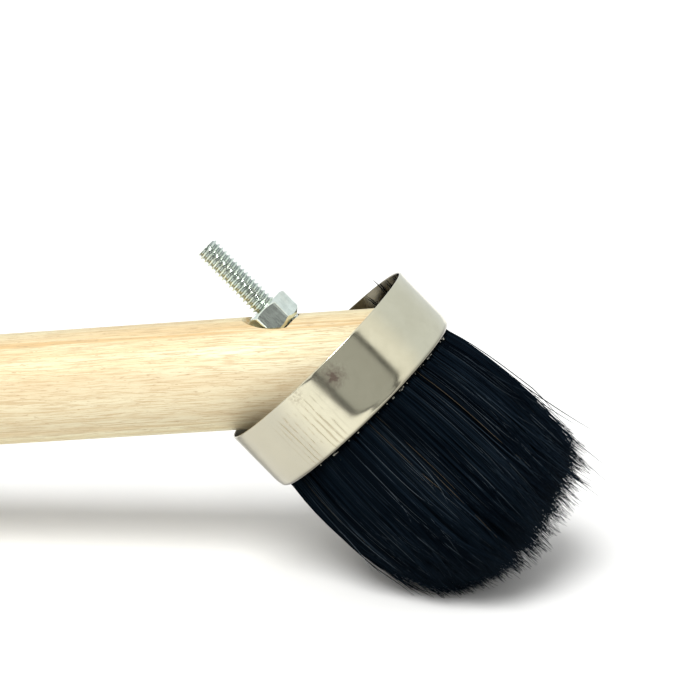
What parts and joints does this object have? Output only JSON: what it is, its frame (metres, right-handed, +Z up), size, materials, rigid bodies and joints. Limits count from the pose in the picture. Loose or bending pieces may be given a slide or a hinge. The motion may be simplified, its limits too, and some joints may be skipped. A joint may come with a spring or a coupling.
{
  "type": "long-handled tar brush",
  "caption": "Round black bristle head in a steel ferrule, bolted at a slant under the end of a long turned wooden handle.",
  "frame": {"origin": "centre of the brush's footprint on the surface it lies on", "axes": "+X from the handle's far end towards the head, +Z up, Y = 0 the plane through the handle's and the bolt's axes"},
  "size_m": [0.4758, 0.065, 0.0881],
  "materials": {
    "handle_wood": "bare sanded pale birch",
    "plug_wood": "raw sawn softwood",
    "stainless": "satin, handled and lightly scratched",
    "zinc": "bright zinc plated",
    "resin": "cast and hard",
    "bristle": "black dyed hair with a slight sheen"
  },
  "bodies": {
    "handle": {"handle": "handle_wood"},
    "head": {"ferrule": "stainless", "core_plug": "plug_wood", "setting_resin": "resin", "bristle_bundle": "bristle", "bolt": "zinc", "bolt_washer": "zinc"},
    "lock_washer": {"lock_washer": "zinc"},
    "nut": {"hex_nut": "zinc"}
  },
  "joints": [
    {"name": "head_swivel", "type": "hinge", "parent": "handle", "child": "head", "pos_m": [0.16905, 0, 0.05853], "axis": [-0.7059, 0, 0.7083], "continuous": true},
    {"name": "nut_travel", "type": "slide", "parent": "head", "child": "lock_washer", "axis": [-0.7059, 0, 0.7083], "range_m": [0, 0.021]},
    {"name": "nut_spin", "type": "hinge", "parent": "lock_washer", "child": "nut", "pos_m": [0.16905, 0, 0.05853], "axis": [-0.7059, 0, 0.7083], "range_deg": [0, 5940]}
  ],
  "couplings": [
    {"joint": "nut_travel", "follows": "nut_spin", "m_per_rad": 0.00020213}
  ]
}
